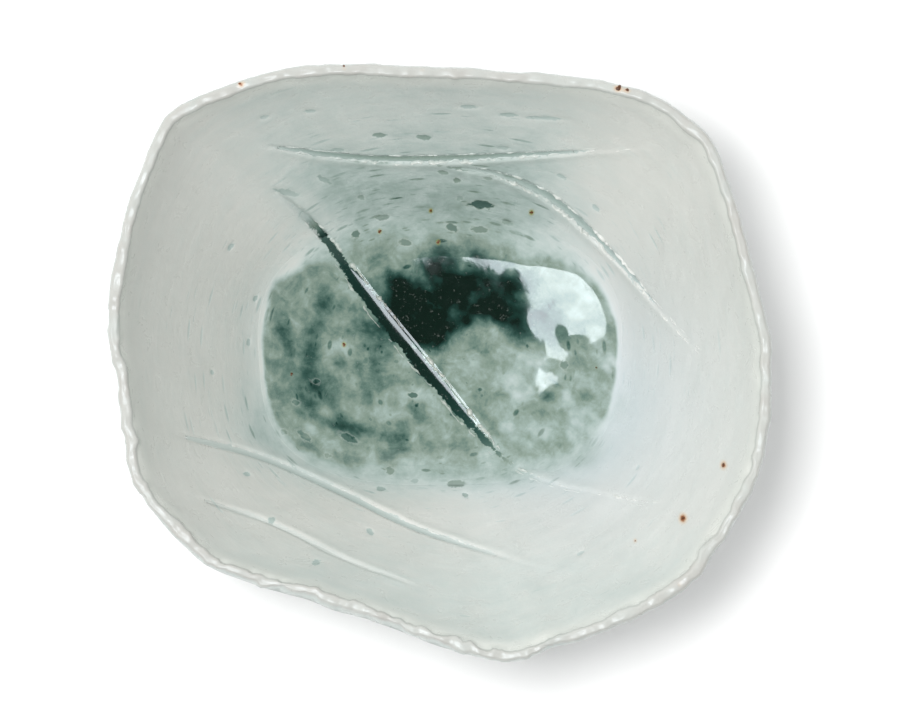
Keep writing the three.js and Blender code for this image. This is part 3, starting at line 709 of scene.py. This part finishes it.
def makeGlazeGroup():
    # Tone, marks, cuts and tints turned into one colour, a bump height and a change of roughness
    group = bpy.data.node_groups.new("glazeOverPorcelain", "ShaderNodeTree")
    sockets = {"Color": "NodeSocketColor", "Height": "NodeSocketFloat", "Roughness": "NodeSocketFloat"}
    for name, kind in sockets.items():
        group.interface.new_socket(name, in_out="OUTPUT", socket_type=kind)
    output = addNode(group, "NodeGroupOutput")

    def plus(first, second):
        return mathNode(group, "ADD", first, second)

    def minus(first, second):
        return mathNode(group, "SUBTRACT", first, second)

    def times(first, second):
        return mathNode(group, "MULTIPLY", first, second)

    def blend(first, second, share):
        return plus(times(first, minus(1, share)), times(second, share))

    place = addNode(group, "ShaderNodeTexCoord").outputs["Object"]
    flow = attribute(group, "flow", "Vector")
    tone = attribute(group, "tone")
    zone = attribute(group, "dashes")

    cloud = noiseNode(group, place, glaze["cloudScale"], 4.0, 0.62, 0.6)
    grain = noiseNode(group, place, glaze["grainScale"], 3.0, 0.6)
    streak = noiseNode(group, flow, glaze["streakScale"], 4.0, 0.6)
    smear = noiseNode(group, flow, glaze["smearScale"], 3.0, 0.6)
    broad = minus(cloud, 0.5)
    narrow = minus(grain, 0.5)
    clouded = plus(times(broad, mapRange(group, tone, 0, 0.6, *glaze["cloudy"])),
                   times(narrow, mapRange(group, tone, 0, 0.6, *glaze["grainy"])))
    clouded = times(clouded, mapRange(group, tone, 0.7, 0.95, 1.0, glaze["calmInDark"]))
    toned = plus(tone, clouded)
    toned = plus(toned, times(minus(streak, 0.5), glaze["streaky"]))
    toned = plus(toned, times(minus(smear, 0.5), mapRange(group, zone, 0.04, 1, *glaze["smeary"])))

    large, small = glaze["largeDash"], glaze["smallDash"]
    dashed = plus(times(makeDashes(group, flow, zone, large["scale"], large["reach"]), large["tone"]),
                  times(makeDashes(group, flow, zone, small["scale"], small["reach"]), small["tone"]))
    toned = plus(toned, dashed)

    # a mark has a crisp, slightly wandering border with a pale rim just outside it
    depth = plus(attribute(group, "markDepth"), narrow)
    marked = mapRange(group, depth, 0.30, 0.55, 0, 1, True)
    rimmed = minus(mapRange(group, depth, 0.10, 0.28, 0, 1, True), marked)
    markTone = mathNode(group, "MAXIMUM", attribute(group, "markTone"), plus(toned, 0.06))
    toned = blend(toned, markTone, marked)

    # the glass in a cut, with ragged borders
    inside = plus(attribute(group, "cutInside"), times(broad, 2.4))
    inside = plus(inside, times(narrow, 1.6))
    filled = mapRange(group, inside, -0.12, 0.2, 0, 1, True)
    cutTone = mathNode(group, "MAXIMUM", attribute(group, "cutTone"), toned)
    toned = blend(toned, cutTone, filled)

    ramp = addNode(group, "ShaderNodeValToRGB")
    stops = ramp.color_ramp.elements
    for stop, (position, screen) in zip((stops[0], stops[1]), (glassDepths[0], glassDepths[-1])):
        stop.position = position
        stop.color = (*fromScreen(*screen), 1)
    for position, screen in glassDepths[1:-1]:
        stop = stops.new(position)
        stop.color = (*fromScreen(*screen), 1)
    join(group, toned, ramp.inputs["Fac"])

    colour = ramp.outputs["Color"]
    # painted reflection: the bluish sheen right of the pool
    bluishTintAndPaintedSheen = times(attribute(group, "bluishTintAndPaintedSheen"), glaze["bluishTintAndPaintedSheenShare"])
    colour = mixColour(group, bluishTintAndPaintedSheen, colour, fromScreen(*glaze["bluishTintAndPaintedSheen"]))
    colour = mixColour(group, times(rimmed, glaze["markRimShare"]), colour, fromScreen(*glaze["markRim"]))
    # painted highlight and painted light, with thinner glaze, from the pale attribute
    colour = mixColour(group, attribute(group, "pale"), colour, fromScreen(*glaze["pale"]))
    # painted shade on the lip's top
    colour = mixColour(group, attribute(group, "lip"), colour, fromScreen(*glaze["lip"]))
    for name, spread, core in (("rust", (0.02, 0.6), (0.25, 0.8)), ("olive", (0.1, 0.7), (0.4, 0.9))):
        stain = attribute(group, name)
        outer, inner = glaze[name]
        stained = mixColour(group, mapRange(group, stain, *core), fromScreen(*outer), fromScreen(*inner))
        colour = mixColour(group, mapRange(group, stain, *spread), colour, stained)
    join(group, colour, output.inputs["Color"])

    height = minus(plus(times(streak, 0.8), times(cloud, 0.8)), times(dashed, 1.6))
    join(group, height, output.inputs["Height"])
    dulled = plus(attribute(group, "dull"), times(filled, 0.02))
    join(group, plus(mapRange(group, cloud, 0.3, 0.7, -0.02, 0.04), dulled), output.inputs["Roughness"])
    return group


glazeGroup = makeGlazeGroup()


def newMaterial(name):
    material = bpy.data.materials.new(name)
    material.use_nodes = True
    return material, material.node_tree, material.node_tree.nodes["Principled BSDF"]


def addBump(tree, shader, height, strength, bumpDepth):
    bump = addNode(tree, "ShaderNodeBump")
    bump.inputs["Strength"].default_value = strength
    bump.inputs["Distance"].default_value = bumpDepth * mm
    join(tree, height, bump.inputs["Height"])
    join(tree, bump.outputs["Normal"], shader.inputs["Normal"])


def makeGlaze(name, roughness, bumpDepth):
    material, tree, shader = newMaterial(name)
    coat = addNode(tree, "ShaderNodeGroup", node_tree=glazeGroup)
    join(tree, coat.outputs["Color"], shader.inputs["Base Color"])
    join(tree, mathNode(tree, "ADD", coat.outputs["Roughness"], roughness), shader.inputs["Roughness"])
    shader.inputs["IOR"].default_value = 1.45
    addBump(tree, shader, coat.outputs["Height"], 1.0, bumpDepth)
    return material


def makeGrained(name, pale, dark, spot, roughLow, roughHigh, bumpDepth):
    # A matt surface: clouds of two colours, a few spots, and a fine grain
    material, tree, shader = newMaterial(name)
    place = addNode(tree, "ShaderNodeTexCoord").outputs["Object"]
    cloud = noiseNode(tree, place, 300, 4.0, 0.65)
    fine = noiseNode(tree, place, 1800, 3.0, 0.7)
    spots = mapRange(tree, noiseNode(tree, place, 620, 2.0, 0.5), 0.68, 0.74, 0, 0.7, True)
    colour = mixColour(tree, mapRange(tree, cloud, 0.35, 0.65), fromScreen(*pale), fromScreen(*dark))
    colour = mixColour(tree, spots, colour, fromScreen(*spot))
    join(tree, colour, shader.inputs["Base Color"])
    join(tree, mapRange(tree, fine, 0.3, 0.7, roughLow, roughHigh), shader.inputs["Roughness"])
    addBump(tree, shader, fine, 0.8, bumpDepth)
    return material


celadon = makeGlaze("celadonGlaze", 0.28, 0.09)
pooledGlass = makeGlaze("pooledGlass", 0.04, 0.006)
bareClay = makeGrained("bareClay", (206, 198, 184), (186, 172, 152), (134, 100, 72), 0.62, 0.82, 0.12)
ironGrain = makeGrained("ironGrain", (112, 62, 22), (44, 28, 16), (20, 14, 10), 0.25, 0.5, 0.05)

print("stage: porcelain body")


def bowlRings():
    # Rings of the whole body from the underside's pole to the floor's, and how far over the lip each ring is
    angle = lipAngle[None, :]
    seat = bowl["footHeight"]
    lipEdge = crestHeight(angle) - bowl["lipRound"]
    half = bowl["outerRings"] // 2
    turn = np.linspace(0, 1, half)[:, None]
    belly = seat + bowl["bellyHeight"] * (1 - np.cos(turn * np.pi / 2)) + 0 * angle
    side = 1 - (1 - np.linspace(0, 1, half + 1)[1:, None])**1.5
    bottom = seat + bowl["bellyHeight"]
    heights = np.concatenate([belly, bottom + (lipEdge - bottom) * side])
    outer = onFace(angle, outerReach(angle, heights), heights)
    over = np.linspace(0, 1, bowl["lipRings"] + 2)[1:-1, None]
    crest = lipEdge + bowl["lipRound"] * (1 - np.abs(2 * over - 1)**4)
    lip = onFace(angle, lipReach(angle) - bowl["lipThickness"] * over, crest)
    edge = wellReach(angle)
    down = np.linspace(1, 0, bowl["wallRings"])[:, None]
    wallReach = edge + (lipReach(angle) - bowl["lipThickness"] - edge) * down
    wall = onFace(angle, wallReach, innerHeight(angle, wallReach))
    inward = np.linspace(1, 0, bowl["floorRings"] + 2)[1:-1, None]
    floor = onFace(angle, edge * inward, innerHeight(angle, edge * inward))
    rings = np.concatenate([outer, lip, wall, floor])
    turned = np.concatenate([np.zeros(len(outer)), over.ravel(), np.ones(len(wall) + len(floor))])
    return withPoles(rings, (0, 0, seat), (0, 0, floorHeight)), len(rings), turned


def nibbleLip(points, angle, turned):
    # Small breaks along the lip: its outer and inner edges shift apart, and its crest rises and sinks
    lipX = lipReach(angle) * np.cos(angle)
    lipY = lipReach(angle) * np.sin(angle)
    below = crestHeight(angle) - points[:, 2]
    size = bowl["nibbleSize"]
    strength = bowl["nibble"] * raggedness(angle)
    nearLip = hill(np.maximum(below - 0.6, 0), 1.8)
    outerShift = roughNoise(lipX, lipY, size, 201) - 0.7
    innerShift = roughNoise(lipX, lipY, size, 211) * 1.2
    shift = strength * nearLip * (outerShift * (1 - turned) + innerShift * turned)
    bulge = bowl["overhang"] * hill(below - 4.0, 2.2) * (turned < 0.01)
    bulge = bulge * hill(np.degrees(angle) - bowl["overhangAngle"], 30)
    radial = np.stack([np.cos(angle), np.sin(angle)], axis=-1)
    points[:, :2] += radial * (shift + bulge)[:, None]
    sink = 0.5 * strength * (roughNoise(lipX, lipY, size * 0.8, 221) - 0.8)
    points[:, 2] += sink * hill(np.maximum(below - 0.3, 0), 1.6)
    pitted = (roughNoise(points[:, 0], points[:, 1], 1.7, 241) - 1) * (turned > 0) * (turned < 1)
    points[:, 2] += bowl["pits"] * pitted * 4 * turned * (1 - turned)
    return points


def makeBowl():
    points, ringCount, turnedRings = bowlRings()
    columns = bowl["columns"]
    angle = np.concatenate([[0], np.tile(lipAngle, ringCount), [0]])
    turned = np.concatenate([[0], np.repeat(turnedRings, columns), [1]])
    isInner = turned > 0.99
    base = points.copy()
    out = faceNormal(innerHeight, base[:, 0], base[:, 1])
    move = np.zeros(len(points))
    cutInside = np.full(len(points), -1.5)
    cutTone = np.zeros(len(points))
    pale = np.zeros(len(points))
    for gash in gashes.values():
        near, across, along, opened, swell = followGash(base, makeStations(gash, innerHeight))
        inside = isInner[near]
        raised = lowSwell(gash, across, opened, swell)
        cut = cutDepth(gash, across, opened)
        move[near] += np.where(inside, raised * (cut <= 0) - cut, 0)
        reached = np.where(inside, gashHalfWidth(gash, opened) * 0.85 - np.abs(across), -1.5)
        cutInside[near] = np.maximum(cutInside[near], np.maximum(reached, -1.5))
        cutTone[near] = np.maximum(cutTone[near], fillToneAt(gash, along, opened))
        # painted highlight: the swell beside a cut is paler the higher it rises, with the glaze thinner over
        # it
        pale[near] = np.maximum(pale[near], np.where(inside, 0.35 * raised / gash["edgeHeight"], 0))
    x, y, z = base.T
    fall = crestHeight(angle) - z
    # painted shade: the lip's top gets a darker colour because it faces the full light
    lipTopPaintedShade = smoothStep(0.0, 0.12, turned) * smoothStep(1.5, 0.7, fall)
    # painted light: the steep band just inside the lip is made paler to lift its shade, and the glaze is
    # thinner there too
    pale = np.maximum(pale, 0.7 * isInner * smoothStep(0.7, 1.4, fall) * smoothStep(8.0, 2.0, fall))
    lipTopPaintedShade = lipTopPaintedShade * (0.8 + 0.2 * roughNoise(x, y, 4.0, 231))
    share = np.hypot(x, y) / wellReach(angle)

    uneven = roughNoise(x + 0.6 * z, y - 0.4 * z, 11.0, 77)
    uneven = uneven + 0.5 * roughNoise(16 * angle, np.hypot(x, y), 7.0, 83)
    uneven = uneven * bowl["unevenness"] * smoothStep(1.0, 6.0, crestHeight(angle) - z)
    uneven = uneven * np.where(isInner, smoothStep(1.12, 1.4, share), 1)
    radial = np.stack([np.cos(angle), np.sin(angle), 0 * angle], axis=-1)
    outward = np.where(isInner[:, None], out, radial * (z > 10)[:, None])
    points = points + out * move[:, None] + outward * uneven[:, None]
    points = nibbleLip(points, angle, turned)
    faces = ringFaces(ringCount, columns)
    piece = makePiece("porcelainBowl", points, faces, celadon, "glazed_porcelain", "porcelain_body")
    depth = dressSurface(piece.data, base, isInner, pale, cutInside, cutTone, 0.0, lipTopPaintedShade)
    points = points - out * (0.22 * depth * isInner)[:, None]
    piece.data.vertices.foreach_set("co", (points * mm).astype(np.float32).ravel())
    piece.data.update()


makeBowl()

print("stage: glass pool")

pool = {
    "columns": 560,
    "rings": 140,
    "underRings": 24,
    "runUp": 1.13,              # how far the glass runs up the wall, as a share of the well's radius
    "sideRunUp": 1.02,          # the same at its left and right
    "fillet": 2.8,              # rounding where it turns up the wall
    "sideFillet": 0.8,
    "film": 0.01,               # its thickness at the end of the run
    "furrow": 0.1,              # how deep the long gash shows in its face
    "swell": 0.4,               # how much of that gash's swell shows, as a share
    "waviness": 0.07,
    "ripple": 0.008,
    "calmLeft": 0.25,           # waviness on the left, as a share
}

# Swells and dips in the glass near its right end, which break up the light's reflection: x, y, size, height
poolSwells = [(28.4, 6.5, 2.6, -0.16), (24.0, -2.0, 2.2, 0.05)]


def poolFace(angle, reach):
    # The glass's face: level in the middle and turning up the wall through a fillet
    rounding = pool["sideFillet"] + (pool["fillet"] - pool["sideFillet"]) * np.sin(angle)**2
    edge = wellReach(angle)
    face = poolHeight(angle, np.minimum(reach, edge)) - well["gap"]
    beyond = np.maximum(reach - edge, 0) * 0.4
    return smoothMax(face + beyond, innerHeight(angle, reach) + pool["film"], rounding)


def glassReach(angle):
    return wellReach(angle) * (pool["sideRunUp"] + (pool["runUp"] - pool["sideRunUp"]) * np.sin(angle)**2)


def makePool():
    angle = np.linspace(-np.pi, np.pi, pool["columns"], endpoint=False)[None, :]
    edge = glassReach(angle)
    outward = np.linspace(0, 1, pool["underRings"] + 1)[1:, None]
    under = onFace(angle, edge * outward, innerHeight(angle, edge * outward) - 0.25)
    inward = np.concatenate([[1.0, 0.9994], np.linspace(0.9985, 0, pool["rings"] + 1)[:-1]])[:, None]
    top = onFace(angle, edge * inward, poolFace(angle, edge * inward))
    top[0, :, 2] = innerHeight(angle[0], edge[0]) - 0.12
    rings = np.concatenate([under, top])
    points = withPoles(rings, (0, 0, floorHeight - 0.25), (0, 0, float(poolFace(0.0, 0.0))))
    isTop = np.arange(len(points)) > len(under) * pool["columns"]
    x, y, _ = points.T
    share = np.hypot(x, y) / wellReach(np.arctan2(y, x))

    gash = gashes["long"]
    near, across, along, opened, swell = followGash(points, makeStations(gash, poolFace))
    calm = smoothStep(1.0, 0.9, share[near]) * isTop[near]
    cut = np.clip(1 - (across / gashHalfWidth(gash, opened))**2, 0, 1) * opened
    move = np.zeros(len(points))
    move[near] = (pool["swell"] * lowSwell(gash, across, opened, swell) - pool["furrow"] * cut) * calm
    cutInside = np.full(len(points), -1.5)
    cutTone = np.zeros(len(points))
    cutInside[near] = np.maximum(gashHalfWidth(gash, opened) * (0.55 + 0.35 * opened) - np.abs(across), -1.5)
    cutTone[near] = fillToneAt(gash, along, opened)
    lively = pool["calmLeft"] + (1 - pool["calmLeft"]) * smoothStep(9, 22, x)
    wavy = pool["waviness"] * lively * roughNoise(x, y, 9.0, 91, 2)
    wavy = wavy + pool["ripple"] * roughNoise(x, y, 4.0, 95, 2)
    for atX, atY, size, lift in poolSwells:
        wavy = wavy + lift * hill(np.hypot(x - atX, y - atY), size)
    move = move + np.where(isTop, wavy * smoothStep(1.0, 0.8, share), 0)
    base = points.copy()
    points[:, 2] += move
    faces = ringFaces(len(rings), pool["columns"])
    piece = makePiece("glassPool", points, faces, pooledGlass, "pooled_glass", "glass_pool")
    rightSide = smoothStep(0.45, 0.8, x / np.hypot(x, y).clip(1))
    dull = 0.26 * smoothStep(0.86, 0.98, share) * (1 - rightSide)
    dressSurface(piece.data, base, isTop, 0 * x, cutInside, cutTone, dull)


makePool()

print("stage: glass in the gashes")

strip = {"stations": 220, "across": 14, "recess": 0.22, "dip": 0.25, "underDepth": 0.3}


def makeStrip(name, gash, node):
    # A lens-shaped section carried along the gash, its face dipping between the cut's sides
    stations = makeStations(gash, innerHeight, strip["stations"])
    wide = (stations["along"] <= gash["endsAt"]) & (stations["open"] > 0.22)
    point = stations["point"][wide]
    across = stations["across"][wide]
    out = stations["out"][wide]
    opened = stations["open"][wide][:, None]
    halfWidth = gashHalfWidth(gash, opened) * 0.94
    s = np.linspace(1, -1, strip["across"])[None, :]
    topDepth = -strip["recess"] * opened - strip["dip"] * opened * (1 - s**2)
    underDepth = topDepth[:, ::-1] - strip["underDepth"] * opened * (1 - s[:, ::-1]**2) - 0.02
    sideways = np.concatenate([halfWidth * s, (halfWidth * s)[:, ::-1]], axis=1)
    depth = np.concatenate([topDepth, underDepth], axis=1)
    rings = point[:, None, :] + across[:, None, :] * sideways[..., None] + out[:, None, :] * depth[..., None]
    points = withPoles(rings, rings[0].mean(axis=0), rings[-1].mean(axis=0))
    faces = ringFaces(len(rings), 2 * strip["across"])
    piece = makePiece(name, points, faces, pooledGlass, "gash_glass", node)
    middle = 1 - np.concatenate([s, s[:, ::-1]], axis=1)**2
    shade = (gash["fillTone"] * opened**0.4 * (0.75 + 0.25 * middle)).ravel()
    cutTone = np.concatenate([shade[:1], shade, shade[-1:]])
    full = np.ones(len(points), bool)
    dressSurface(piece.data, points, full, 0 * cutTone, 0 * cutTone + 1.5, cutTone, -0.15)


for name, gash in gashes.items():
    if name != "long":
        makeStrip(name + "GashGlass", gash, "gash_glass_" + name)

print("stage: torn edges")

# steady and wild are the shares of a crest's height that stay and that come and go along it
burr = {"step": 0.25, "halfWidth": 0.6, "rise": 0.85, "root": 0.4, "jitter": 0.25,
        "steady": 0.45, "wild": 0.85, "sections": 9}


def standingFace(angle, reach):
    # What lies uppermost inside the bowl, porcelain or glass
    return np.where(reach < glassReach(angle), poolFace(angle, reach), innerHeight(angle, reach))


def makeTornEdge(name, gash, side, strength, seed):
    # A ragged crest carried along one side of the cut: its width, its height and its place all waver
    rough = makeStations(gash, standingFace)
    stations = makeStations(gash, standingFace, int(rough["length"] / burr["step"]))
    run = (stations["along"] * stations["length"])[:, None]
    wide = valueNoise(run, 0 * run, 1.3, seed) + 0.6 * valueNoise(run, 0 * run, 0.5, seed + 1)
    high = valueNoise(run, 0 * run, 2.2, seed + 2) + 0.7 * valueNoise(run, 0 * run, 0.7, seed + 3)
    sway = valueNoise(run, 0 * run, 3.0, seed + 4) + 0.5 * valueNoise(run, 0 * run, 0.8, seed + 5)
    swell = np.sin(np.pi * np.clip(stations["along"], 0.01, 0.99))[:, None]**0.5
    halfWidth = burr["halfWidth"] * np.maximum(0.7 + 0.55 * wide, 0.25)
    halfWidth = halfWidth * (0.5 + 0.5 * swell) * (0.6 + 0.4 * strength)
    standing = np.maximum(burr["steady"] + burr["wild"] * high, 0)
    height = gash["edgeHeight"] * burr["rise"] * strength * swell * standing
    opened = stations["open"][:, None]
    centre = side * (gashHalfWidth(gash, opened) + 0.25 + burr["jitter"] * sway)
    turn = np.linspace(0, np.pi, burr["sections"])[None, :]
    lean = 0.3 * side * np.sin(turn)**2
    acrossBy = centre + halfWidth * (np.cos(turn) - lean)
    outBy = (height + burr["root"]) * np.sin(turn)**1.3 - burr["root"] - 0.05
    rings = (stations["point"][:, None, :] + stations["across"][:, None, :] * acrossBy[..., None]
             + stations["out"][:, None, :] * outBy[..., None])
    points = withPoles(rings, rings[0].mean(axis=0), rings[-1].mean(axis=0))
    piece = makePiece(name, points, ringFaces(len(rings), burr["sections"]), celadon, "glazed_porcelain")
    # painted highlight: the crest is paler the higher it stands, with the glaze thinner over it
    crest = (0.15 + 0.6 * np.clip(height / gash["edgeHeight"], 0, 1)) * np.sin(turn)
    pale = np.concatenate([[0.3], crest.ravel(), [0.3]])
    full = np.ones(len(points), bool)
    dressSurface(piece.data, points, full, pale, 0 * pale - 1.5, 0 * pale)


for seed, (name, gash) in enumerate(gashes.items()):
    if gash["burr"]:
        makeTornEdge(name + "TornEdge", gash, gash["edgeSide"], gash["burr"], 300 + 20 * seed)
    if gash["farBurr"]:
        makeTornEdge(name + "FarEdge", gash, -gash["edgeSide"], gash["farBurr"], 310 + 20 * seed)

print("stage: foot ring")

foot = {"outer": 25.0, "width": 5.5, "height": 7.5, "taper": 1.6, "edge": 0.7, "columns": 240, "trim": 0.12}


def makeFoot():
    # A turned profile with rounded edges, carried round the axis and left a little uneven
    inner = foot["outer"] - foot["width"]
    low = foot["taper"] / 2
    corner = np.linspace(0, np.pi / 2, 6)
    rounded = foot["edge"] * (1 - np.sin(corner))
    lifted = foot["edge"] * (1 - np.cos(corner))
    outerEdge = np.stack([foot["outer"] - low - rounded, lifted], 1)
    innerEdge = np.stack([inner + low + lifted, rounded], 1)
    rise = np.linspace(0, 1, 9)[1:]
    height = foot["edge"] + (foot["height"] - foot["edge"]) * rise
    outerSide = np.stack([foot["outer"] - low * (1 - rise), height], 1)
    innerSide = np.stack([inner + low * (1 - rise), height], 1)
    ground = np.linspace(0, 1, 5)[1:-1]
    groundReach = innerEdge[-1, 0] + (outerEdge[0, 0] - innerEdge[-1, 0]) * ground
    groundFace = np.stack([groundReach, 0 * ground], 1)
    section = np.concatenate([outerEdge, outerSide, innerSide[::-1], innerEdge, groundFace])
    turn = np.linspace(-np.pi, np.pi, foot["columns"], endpoint=False)[None, :]
    radius = section[:, 0:1] + 0 * turn
    height = section[:, 1:2] + 0 * turn
    loose = smoothStep(0.0, 2.0, height) * smoothStep(7.5, 6.0, height)
    wobble = roughNoise(radius * np.cos(turn), radius * np.sin(turn) + height, 5.0, 61)
    radius = radius + foot["trim"] * loose * wobble
    points = onFace(turn, radius, height).reshape(-1, 3)
    index = np.arange(len(points)).reshape(radius.shape)
    below = np.roll(index, -1, axis=0)
    corners = [index, np.roll(index, -1, axis=1), np.roll(below, -1, axis=1), below]
    faces = np.stack(corners, axis=-1).reshape(-1, 4)
    makePiece("footRing", points, faces.tolist(), bareClay, "bare_porcelain", "foot_ring")


makeFoot()

print("stage: iron grains")


def makeSpecks():
    # Each grain is a lump: a flattened ball whose radius wavers, sunk halfway into the glaze
    places = []
    for x, y, size, _, _ in specks:
        places.append((x, y, size, float(standingFace(math.atan2(y, x), math.hypot(x, y)))))
    for degrees, size, _ in lipSpecks:
        x, y, height = lipSpot(degrees)
        places.append((x, y, size, height))
    columns = 14
    ringCount = 7
    turn = np.linspace(-np.pi, np.pi, columns, endpoint=False)[None, :]
    tilt = np.linspace(-np.pi / 2, np.pi / 2, ringCount + 2)[1:-1, None]
    vertices = []
    faces = []
    for x, y, size, height in places:
        wobble = 1 + 0.25 * np.sin(2 * turn + x) + 0.2 * np.sin(3 * turn + y)
        ball = np.stack([np.cos(tilt) * np.cos(turn) * wobble, np.cos(tilt) * np.sin(turn) * wobble,
                         np.sin(tilt) + 0 * turn], axis=-1)
        upwards = faceNormal(standingFace, np.array([x]), np.array([y]))[0]
        if height > bowl["height"] - bowl["lipFall"] - 3:
            upwards = np.array([0.0, 0.0, 1.0])
        side = np.cross(upwards, (0, 1, 0.001))
        side /= np.linalg.norm(side)
        axes = np.stack([side * size, np.cross(upwards, side) * size, upwards * size * 0.3])
        lump = withPoles(ball, (0, 0, -1), (0, 0, 1)) @ axes + (x, y, height)
        start = len(vertices) * (ringCount * columns + 2)
        vertices.append(lump)
        faces += [[start + corner for corner in face] for face in ringFaces(ringCount, columns)]
    makePiece("ironGrains", np.concatenate(vertices), faces, ironGrain, "glazed_porcelain")


makeSpecks()

print("stage: floor, lights and camera")


def makeFloor():
    mesh = bpy.data.meshes.new("floor")
    mesh.from_pydata([(-3, -3, 0), (3, -3, 0), (3, 3, 0), (-3, 3, 0)], [], [(0, 1, 2, 3)])
    floor = bpy.data.objects.new("floor", mesh)
    bpy.context.scene.collection.objects.link(floor)
    material, _, shader = newMaterial("paleFloor")
    shader.inputs["Base Color"].default_value = (0.95, 0.95, 0.95, 1)
    shader.inputs["Roughness"].default_value = 0.9
    shader.inputs["Specular IOR Level"].default_value = 0.1
    mesh.materials.append(material)


lights = {
    # the box whose reflection lies on the glass, and the light that falls on the bowl and gives none
    "softbox": {"place": (-0.222, -0.222, 1.2), "width": 0.35, "length": 0.45, "turn": 10.8, "power": 7.9,
                "tint": (0.86, 0.94, 1.0), "mirrored": True},
    "key": {"place": (-0.135, 0.065, 1.2), "width": 0.24, "length": 0.24, "turn": 0.0, "power": 10.4,
            "tint": (1.0, 1.0, 1.0), "mirrored": False},
}
room = {
    "brightness": 0.84,
    "brightSide": (-0.72, 0.69, 0.0),
    "contrast": 0.5,                # how much brighter that side is than the middle
    "overhead": 0.15,               # the dark ceiling over the bowl, as a share
}


def makeLight(name, settings):
    # An area light aimed at the bowl; places are in metres, turns in degrees and power in watts
    data = bpy.data.lights.new(name, "AREA")
    data.shape = "RECTANGLE"
    data.size = settings["width"]
    data.size_y = settings["length"]
    data.energy = settings["power"]
    data.color = settings["tint"]
    light = bpy.data.objects.new(name, data)
    place = Vector(settings["place"])
    back = (place - Vector((0, 0, 0.04))).normalized()
    turn = math.radians(settings["turn"])
    side = Vector((-math.sin(turn), math.cos(turn), 0)).cross(back).normalized()
    axes = Matrix((side, back.cross(side), back)).transposed()
    light.matrix_world = Matrix.Translation(place) @ axes.to_4x4()
    light.visible_glossy = settings["mirrored"]
    light.visible_diffuse = not settings["mirrored"]
    bpy.context.scene.collection.objects.link(light)


def makeRoom():
    # A white room that is brighter on one side and dim straight above
    world = bpy.data.worlds.new("paleRoom")
    world.use_nodes = True
    tree = world.node_tree
    direction = addNode(tree, "ShaderNodeTexCoord").outputs["Generated"]
    towards = addNode(tree, "ShaderNodeVectorMath", operation="DOT_PRODUCT")
    join(tree, direction, towards.inputs[0])
    towards.inputs[1].default_value = room["brightSide"]
    upwards = addNode(tree, "ShaderNodeSeparateXYZ")
    join(tree, direction, upwards.inputs[0])
    sided = mapRange(tree, towards.outputs["Value"], -1, 1, 1 - room["contrast"], 1 + room["contrast"])
    ceiling = mapRange(tree, upwards.outputs["Z"], 0.84, 0.97, 1, room["overhead"], True)
    strength = mathNode(tree, "MULTIPLY", mathNode(tree, "MULTIPLY", sided, ceiling), room["brightness"])
    tree.nodes["Background"].inputs["Color"].default_value = (1, 1, 1, 1)
    join(tree, strength, tree.nodes["Background"].inputs["Strength"])
    bpy.context.scene.world = world


view = {
    "distance": 1.5,            # from the lip
    "lipHeight": 0.074,
    "rimPixels": 667.0,         # the rim's width in the 910 x 728 frame
    "centre": (440.0, 363.0),   # where the bowl's axis meets the lip's plane, in pixels
}


def makeCamera():
    data = bpy.data.cameras.new("camera")
    data.sensor_width = 36
    frameWidth = 910 / view["rimPixels"] * bowl["rimWidth"] * mm
    data.lens = data.sensor_width * view["distance"] / frameWidth
    data.shift_x = (455 - view["centre"][0]) / 910
    data.shift_y = (view["centre"][1] - 364) / 910
    camera = bpy.data.objects.new("camera", data)
    camera.location = (0, 0, view["lipHeight"] + view["distance"])
    bpy.context.scene.collection.objects.link(camera)
    bpy.context.scene.camera = camera


makeFloor()
for lightName, lightSettings in lights.items():
    makeLight(lightName, lightSettings)
makeRoom()
makeCamera()
bpy.context.scene.view_settings.view_transform = "Standard"
